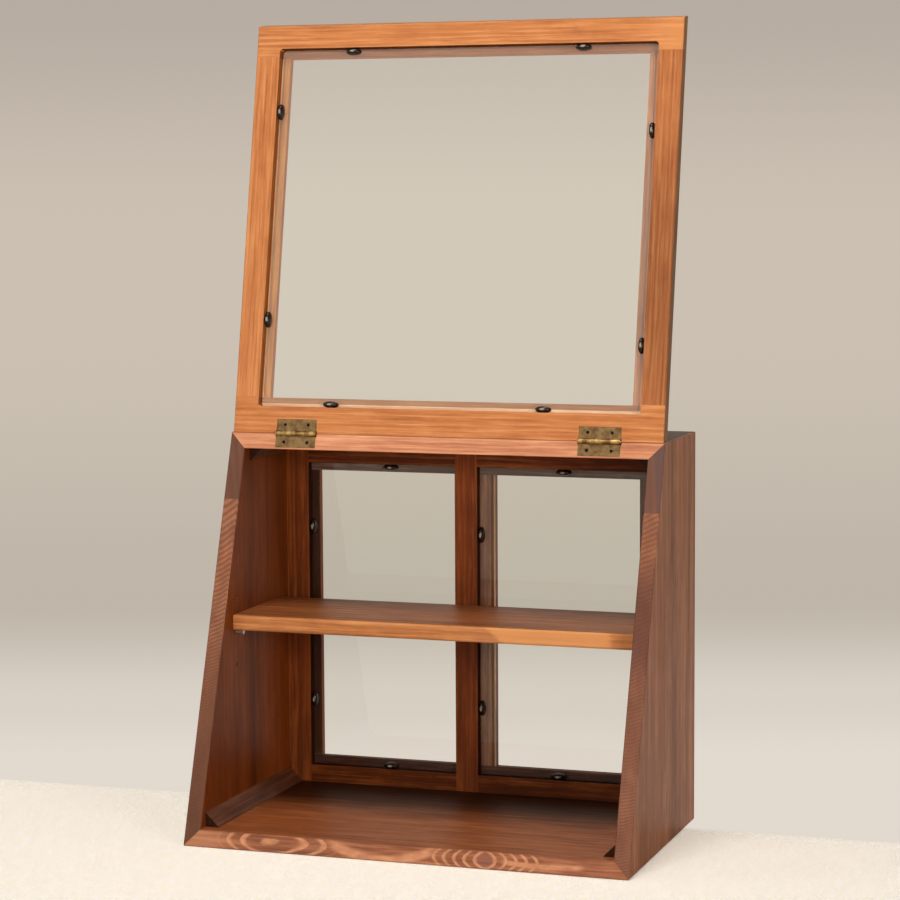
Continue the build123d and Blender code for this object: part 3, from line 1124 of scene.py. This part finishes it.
# the hinge pins: rubbed brass, pale with painted highlights
pin_brass = metal(
    "rubbed_highlit_brass",
    base=(216, 176, 108),
    stain=(170, 130, 76),
    roughness=0.24,
    patches=3.0,
    seed=42,
)
steel = metal(
    "pin_steel_bright",
    base=(205, 200, 192),
    stain=(170, 165, 160),
    roughness=0.25,
    patches=2.0,
    seed=44,
)
lid_bronze = stud_bronze("lid_stud_bronze", LID_OUT, LID_FACE)
back_bronze = stud_bronze("back_stud_bronze", FRONTWARD, -BACK_FACE)
for hand in ("left", "right"):
    dress(hand + "_hinge_case_leaf", leaf_brass)
    dress(hand + "_hinge_lid_leaf", leaf_brass)
    dress(hand + "_hinge_pin", pin_brass)
dress("hinge_case_screws", screw_brass)
dress("hinge_lid_screws", screw_brass)
dress("shelf_pins", steel)

# %% [markdown]
# ## Domed studs
# Each pane is held by small studs with egg-shaped heads, nailed into the wall of the
# rebate so that the head lies on the glass. A ball squeezed to an egg would come to a
# soft point where it meets the glass. Here the head is a stack of rings that shrink
# by a power of a cosine, so its sides stand up and its crown is full, and its square
# shank goes into the wood.

# %% One stud as a surface

STUD_HALF_LENGTH = 4.9
STUD_HALF_WIDTH = 2.08
STUD_LOW, STUD_HIGH = -3.13, 0.38
SHANK_HALF, SHANK_DEPTH, SHANK_LEVEL = 0.65, 6.5, -1.375
ROUND_STEPS, RISE_STEPS = 36, 10
FLATNESS, CROWN_RING = 0.8, 0.04


def stud_dome():
    """An egg-shaped head. At angle a round it and b up it, its ring has half length
    L cos(b) ** f and half width W cos(b) ** f, and stands at height low + rise sin(b).
    The last ring closes as a small flat crown. Columns: along the wall, away from it
    and out of the wood, in mm."""
    a = np.linspace(0, 2 * math.pi, ROUND_STEPS, endpoint=False)[None, :]
    b = np.linspace(0, math.pi / 2, RISE_STEPS)[:, None]
    ring = np.maximum(np.cos(b), 0.0) ** FLATNESS
    ring[-1] = CROWN_RING
    x = STUD_HALF_LENGTH * np.cos(a) * ring
    t = STUD_HALF_WIDTH * (1 + np.sin(a) * ring)
    v = STUD_LOW + (STUD_HIGH - STUD_LOW) * np.sin(b) + 0 * x
    points = np.stack([x, t, v], -1).reshape(-1, 3)
    row = np.arange(RISE_STEPS - 1)[:, None] * ROUND_STEPS
    now = np.arange(ROUND_STEPS)[None, :]
    after = (now + 1) % ROUND_STEPS
    sides = np.stack(
        [row + now, row + after, row + after + ROUND_STEPS, row + now + ROUND_STEPS], -1
    ).reshape(-1, 4)
    floor = np.arange(ROUND_STEPS)[::-1]
    crown = np.arange(ROUND_STEPS) + (RISE_STEPS - 1) * ROUND_STEPS
    return points, [*sides.tolist(), floor.tolist(), crown.tolist()]


# %% Shank and mesh of a stud


def stud_shank():
    """A square bar from inside the head into the wood, in the same columns."""
    half, level = SHANK_HALF, SHANK_LEVEL
    corners = [
        (x, t, level + v)
        for t in (STUD_HALF_WIDTH * 0.8, -SHANK_DEPTH)
        for x, v in ((-half, -half), (half, -half), (half, half), (-half, half))
    ]
    faces = [[0, 1, 2, 3], [7, 6, 5, 4]]
    faces += [[i, i + 4, (i + 1) % 4 + 4, (i + 1) % 4] for i in range(4)]
    return np.array(corners), faces


def mesh_object(name, points, faces, material, smooth_angle=math.radians(40)):
    """An object at the origin from points in metres, with its normals made outward."""
    mesh = bpy.data.meshes.new(name)
    mesh.from_pydata(points.tolist(), [], faces)
    made = bpy.data.objects.new(name, mesh)
    bpy.context.scene.collection.objects.link(made)
    bpy.context.view_layer.objects.active = made
    bpy.ops.object.select_all(action="DESELECT")
    made.select_set(True)
    bpy.ops.object.mode_set(mode="EDIT")
    bpy.ops.mesh.select_all(action="SELECT")
    bpy.ops.mesh.normals_make_consistent(inside=False)
    bpy.ops.object.mode_set(mode="OBJECT")
    bpy.ops.object.shade_smooth_by_angle(angle=smooth_angle)
    mesh.materials.append(material)
    return made


# %% [markdown]
# ## Studs in their rows
# Eight studs hold the pane of the lid, and ten those of the back. Each could be an
# object of its own, but then it would have to be bound to its frame by itself. Here a
# seat is a place on the rebate wall and the way into the opening, and all the studs
# of one frame become one mesh, which rides with the frame.

# %% Studs in their rows

PIN_PROUD = 0.3
LID_PLANE = np.array([0, PIN_Y, PIN_Z]) - PIN_PROUD * np.array(LID_OUT)
RIGHT, UP, LID_UPWARD = np.array(X_AXIS), np.array(Z_AXIS), np.array(LID_UP)


def lid_point(x, up):
    """A point on the lid's inner face, in mm."""
    return LID_PLANE + x * RIGHT + up * LID_UPWARD


def stud_group(name, seats, out, material, node, body):
    """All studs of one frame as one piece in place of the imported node."""
    points, faces, count = [], [], 0
    for origin, toward in seats:
        axes = np.array([np.cross(out, toward), toward, out])
        for shell, shell_faces in (stud_dome(), stud_shank()):
            points.append(np.array(origin) + shell @ axes)
            faces += [[i + count for i in face] for face in shell_faces]
            count += len(shell)
    piece = mesh_object(name, np.concatenate(points) * MM, faces, material)
    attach(piece, body)
    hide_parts(node)
    print(name, "has", len(seats), "studs and", len(faces), "faces")


lid_seats = (
    [(lid_point(-117.9, up), RIGHT) for up in (68.7, 195.5)]
    + [(lid_point(118.5, up), -RIGHT) for up in (56.4, 182.0)]
    + [(lid_point(x, 16.0), LID_UPWARD) for x in (-72.4, 59.5)]
    + [(lid_point(x, 233.9), -LID_UPWARD) for x in (-71.1, 72.5)]
)
stud_group(
    "lid_domed_studs", lid_seats, LID_OUT, lid_bronze, "lid_glass_studs", "lid"
)
back_places = (
    [(-109.8, z, RIGHT) for z in (61.5, 170.5)]
    + [(0.1, z, RIGHT) for z in (61.7, 169.0)]
    + [(107.3, z, -RIGHT) for z in (61.5, 170.5)]
    + [(x, 210.9, -UP) for x in (-56.35, 54.4)]
    + [(x, 20.2, UP) for x in (-57.55, 50.9)]
)
back_seats = [((x, BACK_FACE, z), toward) for x, z, toward in back_places]
stud_group(
    "back_domed_studs", back_seats, FRONTWARD, back_bronze, "back_glass_studs", "case"
)

# %% [markdown]
# ## Floor and backdrop
# The case stands on a cream table with a fine grain, in front of a grey paper
# backdrop. Lamps would light the paper unevenly, so what is seen of it is a plain
# glow: it gives its colour to the eye and to mirrors, and no light to the case. The
# table ends behind the case, and beyond its edge the same paper is seen.

# %% Rays that see, and flat sheets

FLOOR_BACK = 0.052  # the back edge of the table, metres behind the middle
FLOOR_SOFT_EDGE = (-0.004, 0.006)
FLOOR_LIFT = 0.33  # how far the table glows by itself, for the eye only
FLOOR_HIDDEN = 0.25  # how much darker it is in mirrors
FLOOR_DARK, FLOOR_PALE, FLOOR_GLOW = (224, 213, 196), (252, 243, 228), (255, 244, 230)
PAPER_NEAR, PAPER_FOOT = (226, 217, 207), (217, 208, 198)
HEADING = (-0.3188, 0.9478, 0)
PAPER_FROM, WALL_AWAY = 0.2, 0.4086
BACKDROP_STEPS = (
    (0, 76, (191, 182, 169)),
    (76, 270, (203, 192, 178)),
    (350, 520, (183, 172, 161)),
)


def mirror_ray(finish):
    """1 for rays that a glossy face sends out, and 0 for others."""
    return finish.node("ShaderNodeLightPath", out="Is Glossy Ray")


def sight_ray(finish, mirrored=1.0):
    """1 for rays from the camera or clear glass, a share for mirrored ones, and 0 for
    other light."""
    seen = finish.node("ShaderNodeLightPath", out="Is Camera Ray")
    through = finish.node("ShaderNodeLightPath", out="Is Transmission Ray")
    return seen.math("MAXIMUM", through).math("MAXIMUM", mirror_ray(finish) * mirrored)


def flat_object(name, corners, material):
    """A four-cornered sheet from its corners in metres."""
    mesh = bpy.data.meshes.new(name)
    mesh.from_pydata(corners, [], [(0, 1, 2, 3)])
    made = bpy.data.objects.new(name, mesh)
    bpy.context.scene.collection.objects.link(made)
    mesh.materials.append(material)
    print(name, "wears", material.name)


# %% Table


def floor_material():
    """Cream with a fine grain, and paper grey beyond the table's back edge."""
    finish = Finish("cream_table")
    board = Board(finish, X_AXIS, Y_AXIS, Z_AXIS, 50)
    grain = board.noise((1.3, 4.2, 1.5), 3.0, 0.6)
    colour = blend(
        finish, grain.rise(-0.6, 0.6), paint(*FLOOR_DARK), paint(*FLOOR_PALE)
    )
    colour = brighten(finish, colour, 1 - mirror_ray(finish) * FLOOR_HIDDEN)
    bump = finish.node(
        "ShaderNodeBump", {}, {"Strength": 0.6, "Distance": 0.0008, "Height": grain}
    )
    cloth = finish.node(
        "ShaderNodeBsdfDiffuse", {}, {"Color": colour, "Normal": bump}
    )
    lift = finish.node(
        "ShaderNodeEmission",
        {},
        {"Color": paint(*FLOOR_GLOW), "Strength": sight_ray(finish, 0) * FLOOR_LIFT},
    )
    table = finish.node("ShaderNodeAddShader", {}, {0: cloth, 1: lift})
    away = (board.distance(HEADING) * MM).rise(PAPER_FROM, WALL_AWAY)
    paper_colour = blend(finish, away, paint(*PAPER_NEAR), paint(*PAPER_FOOT))
    paper = finish.node("ShaderNodeEmission", {}, {"Color": paper_colour})
    beyond = (board.distance(Y_AXIS) * MM - FLOOR_BACK).rise(*FLOOR_SOFT_EDGE)
    seen = beyond * sight_ray(finish)
    return finish.end(
        finish.node("ShaderNodeMixShader", {}, {0: seen, 1: table, 2: paper})
    )


# %% Backdrop


def backdrop_material():
    """A grey gradient by height for sight, and nothing for light or from behind."""
    finish = Finish("paper_backdrop")
    board = Board(finish, X_AXIS, Y_AXIS, Z_AXIS, 51)
    height = board.distance(Z_AXIS)
    colour = paint(*PAPER_FOOT)
    for low, high, tone in BACKDROP_STEPS:
        colour = blend(finish, height.rise(low, high), colour, paint(*tone))
    paper = finish.node("ShaderNodeEmission", {}, {"Color": colour})
    clear = finish.node("ShaderNodeBsdfTransparent")
    ahead = 1 - finish.node("ShaderNodeNewGeometry", out="Backfacing")
    seen = sight_ray(finish) * ahead
    return finish.end(
        finish.node("ShaderNodeMixShader", {}, {0: seen, 1: clear, 2: paper})
    )


# %% Set up the table and the backdrop

TABLE_HALF, TABLE_TOP = 3.0, -0.0003
flat_object(
    "table",
    [
        (x * TABLE_HALF, y * TABLE_HALF, TABLE_TOP)
        for x, y in ((-1, -1), (1, -1), (1, 1), (-1, 1))
    ],
    floor_material(),
)
WALL_MIDDLE, WALL_WAY = (-0.125, 0.389), (1.896, 0.638)
WALL_LOW, WALL_HIGH = -0.01, 2.0
flat_object(
    "backdrop",
    [
        (WALL_MIDDLE[0] + WALL_WAY[0] * end, WALL_MIDDLE[1] + WALL_WAY[1] * end, z)
        for end, z in ((-1, WALL_LOW), (1, WALL_LOW), (1, WALL_HIGH), (-1, WALL_HIGH))
    ],
    backdrop_material(),
)

# %% [markdown]
# ## Lamps
# Soft studio light at a plain level: a lamp above, one on each side, a small one in
# front and a broad one in front to the left, with a low even light from all round.
# Glossy varnish and panes mirror whatever is bright, so the small lamps keep clear
# of the places that the panes would show, and mirrors see less of the even light.

# %% Lamps


def soft_lamp(name, place, aim, width, watts):
    """A square area lamp at place, in metres, that looks at aim."""
    data = bpy.data.lights.new(name, "AREA")
    data.shape = "SQUARE"
    data.size = width
    data.energy = watts
    lamp = bpy.data.objects.new(name, data)
    bpy.context.scene.collection.objects.link(lamp)
    lamp.location = place
    way = Vector(aim) - Vector(place)
    lamp.rotation_mode = "QUATERNION"
    lamp.rotation_quaternion = way.to_track_quat("-Z", "Y")
    print(name, watts, "W at", round(way.length, 2), "m")


MIDDLE = Vector((0, 0, 0.2))


def round_place(azimuth, height, distance):
    """A place round the case: azimuth from straight in front towards its right, and
    height as an angle, both in degrees, at a distance from its middle."""
    a, h = math.radians(azimuth), math.radians(height)
    way = Vector((math.sin(a) * math.cos(h), -math.cos(a) * math.cos(h), math.sin(h)))
    return MIDDLE + way * distance


# name, azimuth, height, distance, width, watts
LAMPS = (
    ("upper_lamp", 0, 74, 2.0, 0.7, 22),
    ("right_lamp", 48, 5, 2.5, 1.0, 30),
    ("front_lamp", 12, 14, 2.6, 0.35, 7),
    ("broad_lamp", -20, 21, 2.6, 2.1, 17),
    ("left_lamp", -70, 15, 2.4, 1.0, 8),
)
for name, azimuth, height, distance, width, watts in LAMPS:
    soft_lamp(name, round_place(azimuth, height, distance), MIDDLE, width, watts)

# %% Light from all round

AIR_COLOUR = (240, 234, 226)
AIR_FOR_LIGHT, AIR_FOR_SIGHT, MIRRORED_AIR = 0.06, 0.55, 0.3
world = bpy.data.worlds.new("studio_air")
world.use_nodes = True
air = Finish("studio_air", world.node_tree)
sight = sight_ray(air, MIRRORED_AIR)
background = air.node(
    "ShaderNodeBackground",
    {},
    {
        "Color": paint(*AIR_COLOUR),
        "Strength": sight * (AIR_FOR_SIGHT - AIR_FOR_LIGHT) + AIR_FOR_LIGHT,
    },
)
air.node("ShaderNodeOutputWorld", {}, {"Surface": background})
bpy.context.scene.world = world

# %% [markdown]
# ## Camera
# A long lens from the front and a little to the right, looking slightly down. A
# camera that tracks a target can't roll, so its side, its head and its line of sight
# are worked out from three angles, and together they are its matrix.

# %% Camera

YAW, PITCH, ROLL = (math.radians(v) for v in (18.59055, 5.69820, -0.30561))
CAMERA_PLACE = (0.517336, -1.521629, 0.388100)
FOCAL_PIXELS, FRAME_PIXELS, SENSOR = 2762.015, 900, 36.0
level = Vector((-math.sin(YAW), math.cos(YAW), 0))
side = Vector((math.cos(YAW), math.sin(YAW), 0))
up = Vector((0, 0, 1))
ahead = level * math.cos(PITCH) - up * math.sin(PITCH)
head = up * math.cos(PITCH) + level * math.sin(PITCH)
turned_side = side * math.cos(ROLL) + head * math.sin(ROLL)
turned_head = head * math.cos(ROLL) - side * math.sin(ROLL)
camera_data = bpy.data.cameras.new("camera")
camera_data.sensor_width = SENSOR
camera_data.lens = FOCAL_PIXELS / FRAME_PIXELS * SENSOR
camera = bpy.data.objects.new("camera", camera_data)
bpy.context.scene.collection.objects.link(camera)
turn = Matrix((turned_side, turned_head, -ahead)).transposed().to_4x4()
camera.matrix_world = Matrix.Translation(CAMERA_PLACE) @ turn
bpy.context.scene.camera = camera
bpy.context.scene.view_settings.view_transform = "Standard"
print("lens", round(camera_data.lens, 2), "mm")
